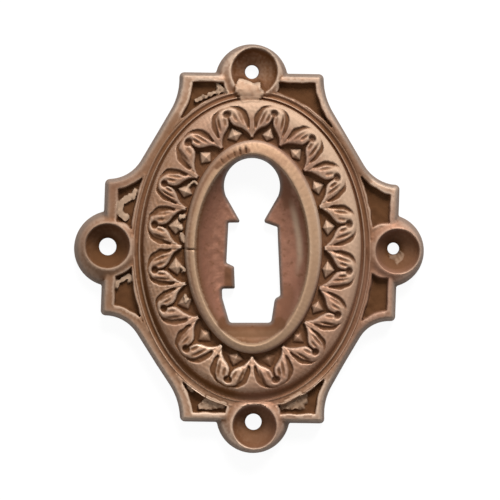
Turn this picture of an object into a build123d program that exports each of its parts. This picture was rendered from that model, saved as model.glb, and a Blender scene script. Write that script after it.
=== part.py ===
"""Keyhole escutcheon for a cabinet door or drawer: one brass casting.

The plate lies on its back. The back plane is z = 0, the ornament faces +Z, and +Y is up on the furniture.
All sizes are millimetres.
"""

from build123d import *

import os
from math import acos, atan2, pi, sqrt, tan

# Plate: a cartouche with straight shoulders and hollow flanks, alike in all four quarters
SHOULDER_Y = 25.5
SHOULDER_HALF_WIDTH = 10.55
SIDE_X = 21.6
SIDE_HALF_HEIGHT = 10.1
CHEEK_HEIGHT = 0.85
LEDGE_WIDTH = 0.55
FLANK_TOP_RADIUS = 9.0
FLANK_FOOT_RADIUS = 5.5
EDGE_DRAFT_DEG = 13.0
FRAME_TOP = 3.0

# Sunk corner panels, framed by the border, the lugs and the oval moulding
BORDER_WIDTH = 1.6
PANEL_DEPTH = 1.1
PANEL_LUG_MARGIN = 0.1

# Screw lugs, each with a cup-shaped countersink set a little outside the lug's centre
LUG_DISTANCE_X = 20.3
LUG_DISTANCE_Y = 24.65
LUG_TOP = 3.4
LUG_RADIUS = 5.35
LUG_DRAFT = 1.35
CUP_SHIFT = 0.8
CUP_RADIUS = 3.05
SCREW_HOLE_RADIUS = 1.2
SCREW_HOLE_LENGTH = 1.0

# Oval moulding. The guide ellipse runs along the leaf border. MOULDING_OUT is the moulding's edge outside
# the guide, and the widths below follow each other inward from there
GUIDE_A = 12.87
GUIDE_B = 18.43
MOULDING_OUT = 4.7
RIM_WIDTH = 0.35
GROOVE_WIDTH = 0.45
BEAD_WIDTH = 0.3
COVE_WIDTH = 0.7
LEAF_BAND_WIDTH = 5.4
CHANNEL_WIDTH = 0.45
RING_WIDTH = 1.8
GROOVE_DEPTH = 0.4
BORDER_EDGE_TOP = 3.9
BORDER_BEVEL_WIDTH = 0.35
LEAF_TOP = 4.7
TIP_SLOPE_WIDTH = 1.0
TIP_DROP = 0.45
CHANNEL_FLOOR = 3.2

# Plain ring, sloped and bevelled outside its crest, crisp inside
RING_TOP = 5.2
RING_SLOPE_WIDTH = 0.5
RING_BEVEL_WIDTH = 0.75
RING_BEVEL_DROP = 0.55

# Dished well inside the ring
WELL_WALL_WIDTH = 0.65
WELL_WALL_FOOT = 3.1
WELL_DISH_WIDTH = 2.2
WELL_FLOOR = 1.45
FLOOR_LAP = 0.1

# Leaf-and-dart carving. One unit is drawn in shares: across from its eye (0) to the leaf tip beside it (1),
# and down from the border's edge (0) to the tips (1)
UNITS_PER_QUARTER = 4
EYE_DOWN = 0.26
EYE_RADIUS = 0.5
EYE_SIDES = 8
CHISEL_CUTS = 3
SLIT_HALF_WIDTH = 0.065
SLIT_FOOT = 0.48
LEAF_OGEE = [(0.2, 0.633), (0.5, 0.735), (0.8, 0.867)]
TIP_ACROSS = 0.98
GROUND_STEP = 0.1
CRESCENT_ENDS = [(0.15, 0.07), (0.92, 0.74)]
CRESCENT_OUTSIDE = (0.79, 0.28)
CRESCENT_INSIDE = (0.65, 0.36)
CRESCENT_DEPTH = 0.75
VEINS = [[(0.21, 0.24), (0.34, 0.53)], [(0.46, 0.23), (0.61, 0.6)]]
VEIN_HALF_WIDTH = 0.045
VEIN_DEPTH = 0.3
DART_HEAD = 0.685
DART_SHOULDER = 0.861
DART_POINT = 0.972
DART_HALF_WIDTH = 0.355
DART_HEIGHT = 0.9

# Hollow in the back, under the leaf border
HOLLOW_WIDTH = 5.8
HOLLOW_MARGIN = 2.4
HOLLOW_DEPTH = 1.7
HOLLOW_DRAFT = 0.3

# Keyhole: a round for the shank over a stem for the bit, with a spur at each side of the neck and one ward
# tab on the left. The heights follow each other down from the neck
NECK_Y = 4.4
NECK_HALF_WIDTH = 1.85
ROUND_RADIUS = 4.1
ROUND_RISE = 4.9
THROAT_DROP = 1.5
SPUR_THICKNESS = 0.45
RIGHT_SPUR_SLANT = 0.55
STEM_LEFT = 3.65
STEM_RIGHT = 3.8
WARD_DROP = 6.35
WARD_HEIGHT = 3.3
WARD_LENGTH = 1.1
HEEL_LEFT = 4.35
HEEL_RIGHT = 4.1
HEEL_HEIGHT = 1.2
HEEL_STEP = 0.75
FOOT_HEIGHT = 3.7
FOOT_HALF_WIDTH = 2.9

OVERCUT = 1.0

# Places across the moulding, measured outward from the guide
bead_out = MOULDING_OUT - RIM_WIDTH - GROOVE_WIDTH
cove_out = bead_out - BEAD_WIDTH
leaf_out = cove_out - COVE_WIDTH
tip_out = leaf_out - LEAF_BAND_WIDTH
ring_out = tip_out - CHANNEL_WIDTH
well_out = ring_out - RING_WIDTH
hollow_out = MOULDING_OUT - HOLLOW_MARGIN

quarter_guide = Edge.make_ellipse(GUIDE_A, GUIDE_B, start_angle=0, end_angle=90)


def oval(out):
    return Ellipse(GUIDE_A + out, GUIDE_B + out)


def between(sketch, floor, top):
    """Solid over a flat shape, from one height to another."""
    return extrude(Pos(0, 0, floor) * sketch, amount=top - floor)


def on_lugs(shape, shift=0):
    """The same shape on all four lugs, shifted outward from their centres."""
    x, y = LUG_DISTANCE_X + shift, LUG_DISTANCE_Y + shift
    return [place * shape for place in Locations((x, 0), (-x, 0), (0, y), (0, -y))]


def plate_outline():
    top_hollow = Vector(SHOULDER_HALF_WIDTH + FLANK_TOP_RADIUS, SHOULDER_Y - CHEEK_HEIGHT)
    foot_hollow = Vector(SIDE_X - LEDGE_WIDTH, SIDE_HALF_HEIGHT + FLANK_FOOT_RADIUS)
    way = foot_hollow - top_hollow
    slant = pi + atan2(way.Y, way.X) - acos((FLANK_TOP_RADIUS - FLANK_FOOT_RADIUS) / way.length)
    quarter = [
        (SIDE_X, SIDE_HALF_HEIGHT),
        (foot_hollow.X - FLANK_FOOT_RADIUS * tan(pi / 4 - slant / 2), SIDE_HALF_HEIGHT),
        (SHOULDER_HALF_WIDTH, top_hollow.Y - FLANK_TOP_RADIUS * tan(slant / 2)),
        (SHOULDER_HALF_WIDTH, SHOULDER_Y),
    ]
    radii = [0, FLANK_FOOT_RADIUS, FLANK_TOP_RADIUS, 0]
    points, corner_radii = [], []
    for x_sign, y_sign in ((1, 1), (-1, 1), (-1, -1), (1, -1)):
        order = x_sign * y_sign
        points += [(x_sign * x, y_sign * y) for x, y in quarter[::order]]
        corner_radii += radii[::order]
    return make_face(FilletPolyline(*points, radius=corner_radii, close=True))


def lug():
    """Drafted boss round one screw."""
    top_radius = LUG_RADIUS - LUG_DRAFT
    profile = Polyline((0, 0), (LUG_RADIUS, 0), (top_radius, LUG_TOP), (0, LUG_TOP), close=True)
    return revolve(make_face(Plane.XZ * profile), Axis.Z)


def screw_hole():
    """Cutter for one screw hole and the cup over it."""
    profile = Polyline(
        (0, -OVERCUT),
        (SCREW_HOLE_RADIUS, -OVERCUT),
        (SCREW_HOLE_RADIUS, SCREW_HOLE_LENGTH),
        (CUP_RADIUS, LUG_TOP),
        (CUP_RADIUS, LUG_TOP + OVERCUT),
        (0, LUG_TOP + OVERCUT),
        close=True,
    )
    return revolve(make_face(Plane.XZ * profile), Axis.Z)


def frame():
    """Drafted plate with its lugs and sunk panels, open in the middle for the oval moulding."""
    outline = plate_outline()
    plate = extrude(outline, amount=FRAME_TOP, taper=EDGE_DRAFT_DEG) + on_lugs(lug())
    pad = Circle(LUG_RADIUS - LUG_DRAFT + PANEL_LUG_MARGIN)
    panels = offset(outline, -BORDER_WIDTH) - oval(MOULDING_OUT) - on_lugs(pad)
    plate -= between(panels, FRAME_TOP - PANEL_DEPTH, LUG_TOP + OVERCUT)
    opening = oval(MOULDING_OUT - RIM_WIDTH / 2)
    return plate - between(opening, -OVERCUT, LUG_TOP + OVERCUT)


def moulding_quarter():
    """A quarter of the oval, swept in one section: moulding, leaf border, ring, well wall and hollow back."""
    groove_floor = FRAME_TOP - GROOVE_DEPTH
    crest_out = ring_out - RING_SLOPE_WIDTH
    dish_out = well_out - WELL_WALL_WIDTH
    dish_drop = WELL_WALL_FOOT - WELL_FLOOR
    hollow_in = hollow_out - HOLLOW_WIDTH
    section = Polyline(
        (MOULDING_OUT, 0),
        (MOULDING_OUT, FRAME_TOP),
        (MOULDING_OUT - RIM_WIDTH, FRAME_TOP),
        (bead_out + GROOVE_WIDTH / 2, groove_floor),
        (bead_out, FRAME_TOP),
        (cove_out, groove_floor),
        (leaf_out, BORDER_EDGE_TOP),
        (leaf_out - BORDER_BEVEL_WIDTH, LEAF_TOP),
        (tip_out + TIP_SLOPE_WIDTH, LEAF_TOP),
        (tip_out, LEAF_TOP - TIP_DROP),
        (tip_out, CHANNEL_FLOOR),
        (ring_out, CHANNEL_FLOOR),
        (crest_out, RING_TOP - RING_BEVEL_DROP),
        (crest_out - RING_BEVEL_WIDTH, RING_TOP),
        (well_out, RING_TOP),
        (dish_out, WELL_WALL_FOOT),
        (dish_out - (1 + FLOOR_LAP) * WELL_DISH_WIDTH, WELL_FLOOR - FLOOR_LAP * dish_drop),
        (dish_out - (1 + FLOOR_LAP) * WELL_DISH_WIDTH, 0),
        (hollow_in, 0),
        (hollow_in + HOLLOW_DRAFT, HOLLOW_DEPTH),
        (hollow_out - HOLLOW_DRAFT, HOLLOW_DEPTH),
        (hollow_out, 0),
        close=True,
    )
    start = Plane(quarter_guide.position_at(0), x_dir=(1, 0, 0), z_dir=(0, -1, 0))
    return sweep(make_face(start * section), path=quarter_guide)


def leaf_point(unit, across, down):
    """Point of one unit's drawing, laid along the guide."""
    turn = (unit + 0.5 + across / 2) / UNITS_PER_QUARTER
    tangent = quarter_guide.tangent_at(turn)
    outward = Vector(tangent.Y, -tangent.X)
    return quarter_guide.position_at(turn) + outward * (leaf_out - down * LEAF_BAND_WIDTH)


def leaf_points(unit, points, side=1):
    return [leaf_point(unit, side * across, down) for across, down in points]


def chiselled(start, middle, stop):
    """Points of an arc cut by a chisel: straight cuts from start to stop, the stop left out."""
    arc = ThreePointArc(start, middle, stop)
    return [arc.position_at(cut / CHISEL_CUTS) for cut in range(CHISEL_CUTS)]


def leaf_edge(unit, side):
    """Points of one half leaf's edge: down the slit, then through two hollows to the tip in the channel."""
    tip = (TIP_ACROSS, 1 + CHANNEL_WIDTH / LEAF_BAND_WIDTH / 2)
    slit = [(SLIT_HALF_WIDTH, EYE_DOWN), (SLIT_HALF_WIDTH, SLIT_FOOT)]
    points = leaf_points(unit, [*slit, *LEAF_OGEE, tip], side)
    return [points[0], *chiselled(*points[1:4]), *chiselled(*points[3:6]), points[5]]


def leaf_ground(unit):
    """Ground of one unit: the eye, and the slit below it that flares between two leaf tips."""
    mouth = leaf_point(unit, 0, 1 + CHANNEL_WIDTH / LEAF_BAND_WIDTH / 2)
    outline = Polyline(*leaf_edge(unit, 1), mouth, *leaf_edge(unit, -1)[::-1], close=True)
    eye = RegularPolygon(EYE_RADIUS, EYE_SIDES)
    return make_face(outline) + Pos(leaf_point(unit, 0, EYE_DOWN)) * eye


def crescent(unit, side):
    """Hollow round the outside of one half leaf."""
    start, outside, inside, stop = leaf_points(
        unit, [CRESCENT_ENDS[0], CRESCENT_OUTSIDE, CRESCENT_INSIDE, CRESCENT_ENDS[1]], side
    )
    outline = [*chiselled(start, outside, stop), *chiselled(stop, inside, start)]
    return make_face(Polyline(*outline, close=True))


def vein(unit, side, ends):
    """Straight groove in a half leaf, pointed at both ends."""
    (top_across, top_down), (foot_across, foot_down) = ends
    middle_across, middle_down = (top_across + foot_across) / 2, (top_down + foot_down) / 2
    corners = [
        ends[0],
        (middle_across + VEIN_HALF_WIDTH, middle_down),
        ends[1],
        (middle_across - VEIN_HALF_WIDTH, middle_down),
    ]
    return make_face(Polyline(*leaf_points(unit, corners, side), close=True))


def dart(unit):
    """Small pyramid on the ground between two leaf tips."""
    shoulder = (DART_HALF_WIDTH, DART_SHOULDER)
    corners = leaf_points(unit, [(0, DART_HEAD), shoulder, (0, DART_POINT), (-shoulder[0], DART_SHOULDER)])
    foot = Pos(0, 0, CHANNEL_FLOOR) * make_face(Polyline(*corners, close=True))
    peak = leaf_point(unit, 0, DART_SHOULDER) + Vector(0, 0, CHANNEL_FLOOR + DART_HEIGHT)
    return loft([foot, Vertex(*peak)], ruled=True)


def carved_moulding():
    """Cuts the leaves into a quarter of the moulding, and mirrors it into the whole ring."""
    over = RING_TOP + OVERCUT
    cutters, darts = [], []
    for unit in range(UNITS_PER_QUARTER):
        cutters.append(between(leaf_ground(unit), CHANNEL_FLOOR + GROUND_STEP, over))
        darts.append(dart(unit))
        for side in (-1, 1):
            cutters.append(between(crescent(unit, side), LEAF_TOP - CRESCENT_DEPTH, over))
            cutters += [between(vein(unit, side, ends), LEAF_TOP - VEIN_DEPTH, over) for ends in VEINS]
    quarter = moulding_quarter() - cutters + darts
    half = quarter + mirror(quarter, about=Plane.YZ)
    return half + mirror(half, about=Plane.XZ)


def keyhole():
    round_y = NECK_Y + ROUND_RISE
    throat_y = round_y - THROAT_DROP
    throat_half_width = sqrt(ROUND_RADIUS**2 - THROAT_DROP**2)
    spur_y = NECK_Y - SPUR_THICKNESS
    ward_y = spur_y - WARD_DROP
    heel_y = ward_y - WARD_HEIGHT
    step_y = heel_y - HEEL_HEIGHT
    foot_y = step_y - FOOT_HEIGHT
    outline = Polyline(
        (throat_half_width, throat_y),
        (-throat_half_width, throat_y),
        (-NECK_HALF_WIDTH, NECK_Y),
        (-NECK_HALF_WIDTH, spur_y),
        (-STEM_LEFT, spur_y),
        (-STEM_LEFT, ward_y),
        (-STEM_LEFT + WARD_LENGTH, ward_y),
        (-STEM_LEFT + WARD_LENGTH, heel_y),
        (-HEEL_LEFT, heel_y),
        (-HEEL_LEFT, step_y),
        (-FOOT_HALF_WIDTH, foot_y),
        (FOOT_HALF_WIDTH, foot_y),
        (HEEL_RIGHT - HEEL_STEP, step_y),
        (HEEL_RIGHT, step_y),
        (STEM_RIGHT, spur_y - RIGHT_SPUR_SLANT),
        (NECK_HALF_WIDTH, spur_y),
        (NECK_HALF_WIDTH, NECK_Y),
        close=True,
    )
    return make_face(outline) + Pos(0, round_y) * Circle(ROUND_RADIUS)


def escutcheon_plate():
    floor = between(oval(well_out - WELL_WALL_WIDTH - WELL_DISH_WIDTH / 2), 0, WELL_FLOOR)
    body = carved_moulding() + floor + frame()
    body -= between(keyhole(), -OVERCUT, RING_TOP + OVERCUT)
    return body - on_lugs(screw_hole(), CUP_SHIFT)


os.makedirs("parts", exist_ok=True)
export_step(escutcheon_plate(), "parts/escutcheon_plate.step")
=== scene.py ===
"""Keyhole escutcheon: the carved casting in aged brass, on a plain pale floor."""

import math

import bmesh
import bpy
import numpy as np
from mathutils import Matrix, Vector
from mathutils.geometry import delaunay_2d_cdt


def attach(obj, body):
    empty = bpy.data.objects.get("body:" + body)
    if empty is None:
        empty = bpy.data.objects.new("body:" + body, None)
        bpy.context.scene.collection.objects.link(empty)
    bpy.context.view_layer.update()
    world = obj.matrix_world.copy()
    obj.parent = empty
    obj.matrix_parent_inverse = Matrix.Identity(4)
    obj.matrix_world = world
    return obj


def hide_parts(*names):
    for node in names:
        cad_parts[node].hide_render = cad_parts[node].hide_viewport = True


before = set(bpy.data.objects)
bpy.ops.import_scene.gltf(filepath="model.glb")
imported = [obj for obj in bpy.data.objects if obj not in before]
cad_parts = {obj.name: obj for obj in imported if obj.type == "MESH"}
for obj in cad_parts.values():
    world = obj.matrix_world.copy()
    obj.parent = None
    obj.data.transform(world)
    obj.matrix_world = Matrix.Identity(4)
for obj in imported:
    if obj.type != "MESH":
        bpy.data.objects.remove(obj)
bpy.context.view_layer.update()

# Lengths are in millimetres until the mesh is made. A table is a list of (place, value) pairs. Limits are
# the places where a change starts and ends, and its size if that isn't 1. A ripple is (size, wavelength,
# seed) and a ridge (size, middle, spread)
MM = 0.001
FULL_TURN = 2.0 * math.pi
TINY = 1e-6
OVAL_X = 0.44
OVAL_Y = -0.15
PLATE_X = 0.44

# The plate is cast askew: its outline is shifted across at these heights, and up at these widths
SLANTS = [(-25.6, 0.06), (-17.0, -0.42), (-10.0, -0.6), (10.0, 0.07), (17.0, 0.03), (25.6, -0.07)]
TILTS = [(-21.0, 0.2), (-10.0, 0.25), (10.8, -0.05), (21.0, -0.65)]

# Plate outline, alike in all four quarters, and the border's height by the distance inside the outline
SHOULDER_Y = 25.6
SHOULDER_X = 10.58
SIDE_X = 21.6
SIDE_Y = 10.0
CHEEK_HEIGHT = 0.85
LEDGE_WIDTH = 0.55
TOP_RADIUS = 9.0
FOOT_RADIUS = 5.5
CORNER_RADIUS = 0.7
CORNER_STEPS = 8
STRAIGHT = 1.55
BORDER = [
    (0.0, 0.0), (0.25, 1.6), (0.42, 2.5), (0.54, 2.8), (0.66, 2.92), (0.8, 2.96), (1.2, 2.92), (1.5, 2.88),
]
BORDER_BENDS = slice(1, 6)

# Sunk corner panels, with a raised edge round each, all set a little to the right on the plate
BORDER_WIDTH = 1.6
PANEL_SHIFT = 0.35
PANEL_SQUEEZE = 0.99
PANEL_FLOOR = 1.9
PANEL_WALL = 0.24
PANEL_EDGE = (0.1, -0.12, 0.13)
PANEL_OVAL_GAP = 4.85
PANEL_LUG_RADIUS = 4.0
PANEL_BENDS = (-0.12, 0.0, 0.12, PANEL_WALL)
PANEL_WANDER = (0.04, 2.6, 5)
PANEL_RIPPLES = [(0.025, 1.6, 6), (0.015, 0.7, 7)]

# Lugs: centre and radius, cup centre and radius, hole centre and radius
LUGS = [
    (0.38, 24.6, 5.33, 0.8, 25.85, 3.45, 0.42, 25.85, 1.0),
    (-20.1, 0.0, 5.54, -20.66, 0.35, 3.3, -20.69, 0.28, 1.27),
    (20.3, -0.33, 5.33, 21.7, -0.4, 3.25, 21.13, 0.0, 0.86),
    (0.59, -24.6, 5.38, 0.8, -25.95, 3.25, 0.64, -25.38, 1.2),
]
LUG_STAINS = [0.4, 1.2, 1.0, 0.85]
LUG_FADE = (3.6, 4.5)
RIM_WIDTH = 0.16
LUG_WALL = [(0.0, 0.0), (0.12, 1.0), (0.35, 1.9), (0.7, 2.85), (0.92, 3.3), (1.0, 3.42)]
CUP = [
    (0.0, 0.7), (0.05, 0.9), (0.3, 1.25), (0.55, 1.65), (0.75, 2.1), (0.88, 2.55), (0.96, 3.0), (1.0, 3.38),
    (1.05, 3.45),
]
CUP_STAINS = [(0.0, 1.3), (0.12, 1.3), (0.3, 1.0), (0.75, 0.8), (1.0, 0.0)]
CUP_SETTLE = 0.4

# Oval moulding: offsets outward from the guide ellipse, and heights
GUIDE_A = 12.87
GUIDE_B = 18.43
GUIDE_POINTS = 20001
QUARTER_POINTS = 70
MOULDING = [
    (4.8, 2.9), (4.72, 3.02), (4.62, 2.98), (4.5, 2.82), (4.36, 2.74), (4.16, 2.74), (4.04, 2.84),
    (3.95, 3.04), (3.88, 3.11), (3.81, 3.04), (3.72, 2.86), (3.6, 2.8), (3.46, 2.88), (3.3, 3.12),
    (3.17, 3.38),
]
RING = [
    (-2.72, 3.42), (-2.78, 3.6), (-2.85, 3.92), (-2.93, 4.26), (-3.02, 4.54), (-3.15, 4.71), (-3.35, 4.82),
    (-3.58, 4.9), (-3.8, 4.97), (-4.0, 5.04), (-4.18, 5.1), (-4.32, 5.12), (-4.42, 5.1), (-4.5, 5.0),
    (-4.55, 4.83), (-4.58, 4.6),
]
LEAF_OUT = 3.07
TIP_OUT = -2.66
LEAF_ROWS = 56
UNIT_COLUMNS = 64
COARSE_STRIDE = 2
LOOK_SHARE = 0.25

# The leaves sit a little higher on the oval than its outer bead and its inner edge
RISES = [(-4.4, 0.0), (-3.2, 0.38), (3.0, 0.38), (3.7, 0.0)]
LEANS = [(-4.3, 0.0), (-3.2, 0.17), (-2.6, 0.17), (-1.8, 0.0)]
PULLS = [(2.9, 0.0), (3.6, 0.3)]

# The bead is worn away at the foot
WORN_SINES = (0.7, 0.93)
WORN_HEIGHT = 2.86
WORN_LOSS = 0.1

# Leaf-and-dart units, counted anticlockwise from the right. The carver's spacing is uneven: each leaf tip
# and each eye stands off its even place by these shares of a unit
UNITS = 16
HALF_UNIT = 3.1
UNIT_SHIFTS = [
    (0.03, 0.07), (0.11, 0.13), (0.16, 0.12), (0.12, 0.05), (0.0, 0.0), (-0.03, -0.02), (0.03, 0.02),
    (-0.08, -0.05), (-0.07, -0.04), (-0.1, -0.17), (-0.13, -0.15), (-0.08, -0.02), (0.0, 0.01), (0.06, 0.06),
    (0.0, 0.01), (0.0, 0.02),
]
BORDER_EDGE_TOP = 3.58
BODY = [
    (-2.4, 4.2), (-1.0, 4.5), (0.5, 4.66), (1.5, 4.62), (2.1, 4.48), (2.5, 4.26), (2.8, 3.98),
    (LEAF_OUT, BORDER_EDGE_TOP),
]
LOBE_TOPS = [(-2.4, 4.2), (-1.2, 4.52), (0.0, 4.74), (1.2, 4.78), (2.0, 4.68), (2.5, 4.45)]
LOBE_EDGE = (0.0, 0.5, 0.13)
LEAF_WANDER = (0.03, 1.9, 22)
EDGE_WANDER = 0.5
GROUND = 3.4

# Half a leaf unit's lines, from its axis outward: (across, out)
ARCH = [
    (0.0, 2.6), (0.5, 2.57), (1.0, 2.48), (1.5, 2.3), (2.0, 1.98), (2.45, 1.42), (2.7, 0.8), (2.81, 0.2),
    (2.84, -0.3), (2.8, -1.1),
]
LOBE = [
    (0.0, 2.5), (0.5, 2.44), (0.9, 2.3), (1.3, 1.98), (1.62, 1.5), (1.86, 0.9), (2.08, 0.3), (2.3, -0.3),
    (2.56, -1.1),
]
OGEE = [
    (0.15, 1.2), (0.15, 0.9), (0.17, 0.3), (0.38, -0.2), (0.88, -0.62), (1.6, -1.03), (2.2, -1.5),
    (2.7, -2.1), (2.86, -2.45),
]
VEINS = [
    [(0.64, 1.4), (0.74, 0.8), (0.92, 0.0)],
    [(1.16, 1.8), (1.38, 1.1), (1.62, 0.2), (1.82, -0.6)],
]
ARCH_BRINK = (-0.05, 0.2)
ARCH_TOP = (-8.0, -1.0, 0.14)
CRESCENT_LEAST = 0.02
CRESCENT_MOST = 1.2
CRESCENT_OUTER = (0.0, 0.22)
CRESCENT_INNER = (0.7, 1.12)
CRESCENT_WIDTHS = (0.0, 0.55)
CRESCENT_FOOT = (-1.2, -0.85)
CRESCENT_DEPTH = 0.4
VEIN_SEED = 21
VEIN_DRIFT = 0.16
VEIN_SPREAD = 0.3
VEIN_DEPTH = 0.2
VEIN_HALF_WIDTH = 0.29
VEIN_FULLNESS = 1.1
VEIN_CORE = 0.25
VEIN_END = 0.6
LEAF_RIM = (0.03, -0.16, 0.12)
SLIT = [(-0.5, GROUND), (0.2, 3.75), (0.7, 4.1), (1.2, 4.05)]
EYE_OUT = 1.5
EYE_RADIUS = 0.5
EYE_RIM = 0.1
EYE_FLOOR = 4.0
CUT_BRINK = (-0.1, 0.16)
DART_HEAD = -0.35
DART_SHOULDER = -1.8
DART_POINT = -2.78
DART_HALF_WIDTH = 1.5
DART_STEEP = 4.0
DART_WALL = 0.25
DART_TOP = 4.4
DART_SEED = 27
DART_SPREADS = [0.16, 0.12, 0.14, 0.12]
DART_WEAR = (-15.0, -3.0, 0.38)

# Stains and pale places, with painted shade and painted highlights
VEIN_STAIN = 0.85
EYE_STAIN = 0.8
DART_CLEAN = (0.2, 0.5)
DART_PALE = (0.15, 0.45)
DART_PALE_FOOT = 0.12
# Darts paler towards the top: a painted highlight
DART_HIGHLIGHT_RISE = (-0.95, 0.1, 0.58)
# The leaf border is paler towards the upper right
PALE_SIDE = (-0.1, 1.0, 0.95)
PALE_SIDE_TURN = math.radians(44.0)
PALE_SIDE_OUT = (0.0, 1.5)
MOULDING_STAIN = (2.74, 2.94, 0.1)
MOULDING_BRINK = (2.96, 3.04)
LINE_PALE = (2.96, 3.06, 0.6)
LINE_COVE = 3.5
RING_STAIN = (4.74, 4.94, 0.3)
RING_ROOT = (3.5, 3.9, 0.6)
RING_OCHRE = (3.1, 3.4)
# Painted shade on the ring's outer slope, on the left side
RING_SHADE = 0.75
RING_LEFT = (-0.1, 0.8)
RING_SLOPE = (3.65, 3.95)
# Painted highlights: a line along the ring's inner edge, and the ring's lower inner part
RING_HIGHLIGHT_LINE = (4.1, 4.3, 0.4)
RING_LOW_HIGHLIGHT = (0.2, 0.9, 0.7)
RING_LOW_HIGHLIGHT_OUT = (3.2, 3.6)
PANEL_STAIN = (0.05, 0.3, 1.25)
PATINA = 0.45
PATINA_OUT = (5.0, 5.7)
PATINA_UP = (-22.0, -16.0)
SIDE_DIRT = (5.0, 12.0, 0.38)
GRIMES = [(10.0, 0.0), (16.0, 0.46), (22.0, 0.75)]
FRAME_STAIN = 0.16
TARNISH = (22.0, 25.0, 0.85)
TARNISH_INSET = (0.3, 0.9)
TARNISH_LUG = (-0.2, 0.3)
EDGE_GREY = 0.8
EDGE_GREY_INSET = (0.35, 1.0)

# Dished well and keyhole. The keyhole's corners, (x, y, radius), are measured from the oval's centre
WELL = [
    (-9.0, 1.45), (-7.7, 1.5), (-7.0, 1.7), (-6.4, 2.05), (-5.9, 2.45), (-5.5, 2.9), (-5.15, 3.4),
    (-4.85, 3.95), (-4.58, 4.6),
]
ROUND_Y = 9.3
ROUND_RADIUS = 4.1
ROUND_POINTS = 60
KEYHOLE = [
    (-1.78, 4.2, 0.2), (-1.95, 3.95, 0.1), (-3.45, 3.93, 0.1), (-3.75, -1.95, 0.3), (-2.62, -2.5, 0.25),
    (-2.5, -5.72, 0.2), (-4.4, -5.75, 0.25), (-4.35, -7.1, 1.5), (-3.3, -10.72, 0.5), (2.8, -10.72, 0.5),
    (3.35, -7.15, 0.8), (4.15, -6.8, 0.35), (3.72, 3.3, 0.15), (1.9, 3.93, 0.15), (1.8, 4.3, 0.2),
]
KEYHOLE_STEPS = 4
THROAT = (3.8, 7.83)
EDGE_BEVEL = 0.36
EDGE_DROP = 0.42
BARE_GAP = (0.28, 0.42)
WELL_RIPPLES = [(0.018, 1.9, 41), (0.008, 0.7, 42)]
WELL_SPOTS = [(0.7, 1.5, 43), (0.6, 0.6, 44)]
BLOTCH = (0.7, 2.0, 0.6)
RED_OUT = (4.6, 5.3)
WELL_FOOT = (-12.4, -11.2)
WELL_FOOT_OCHRE = 0.2
# Painted shadow of the ring on the well's wall, on the left side
WELL_SHADE = (-5.75, -5.0, 0.55)
WELL_LEFT = (0.0, 4.0)
# Painted highlight: a pale streak down the well's right wall
HIGHLIGHT_STREAK = [(6.2, 7.1), (6.86, 3.9), (7.33, 1.3), (7.49, -1.2), (7.0, -4.1)]
HIGHLIGHT_STREAK_HALF_WIDTH = 0.75
HIGHLIGHT_STREAK_FOOT = (-5.0, 0.5, 1.2)
HIGHLIGHT_STREAK_HEAD = (4.0, 8.0)

# Hollow back: offsets from the guide ellipse, and heights
HOLLOW = [(2.3, 0.0), (2.0, 1.7), (-3.2, 1.7), (-3.5, 0.0)]
BACK_STRIDE = 4

# Casting faults kept from the real plate: (path, half width, height of its top)
RESIDUES = [
    ([(-7.75, 21.6), (-5.7, 22.5), (-3.6, 23.2)], 0.3, 2.45),
    ([(-4.5, 23.75), (-4.0, 23.2), (-3.3, 22.95)], 0.4, 2.45),
    ([(-16.9, 7.7), (-18.1, 7.1), (-18.9, 6.5), (-18.9, 5.4), (-18.5, 4.8), (-18.0, 4.5)], 0.52, 2.35),
    ([(-17.2, 7.6), (-16.6, 8.4)], 0.36, 2.35),
    ([(-19.4, -5.6), (-19.3, -4.9), (-18.5, -4.6), (-17.6, -4.0), (-17.4, -4.7)], 0.34, 2.4),
    ([(-8.9, -20.0), (-8.5, -20.8)], 0.3, 2.3),
    ([(-8.9, 8.9), (-8.5, 9.5), (-7.9, 9.75), (-7.7, 9.5)], 0.22, 4.0),
    ([(-10.0, 4.5), (-9.6, 4.7)], 0.38, 4.2),
    ([(-10.2, 3.2), (-9.9, 3.0)], 0.36, 4.2),
    ([(-9.8, 1.9), (-9.4, 1.2)], 0.4, 4.0),
    ([(-9.8, -2.8), (-9.6, -3.2)], 0.3, 4.1),
    ([(-9.3, -7.1), (-9.1, -7.5)], 0.34, 4.2),
]
RESIDUE_EDGE = (0.07, 0.9, 11)
RESIDUE_RIPPLE = (0.03, 0.9, 13)
FAULT_EDGE = (-0.06, 0.1)
CREVICE_OUTER = (-0.3, -0.1)
CREVICE_INNER = (-0.04, 0.05)

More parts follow.
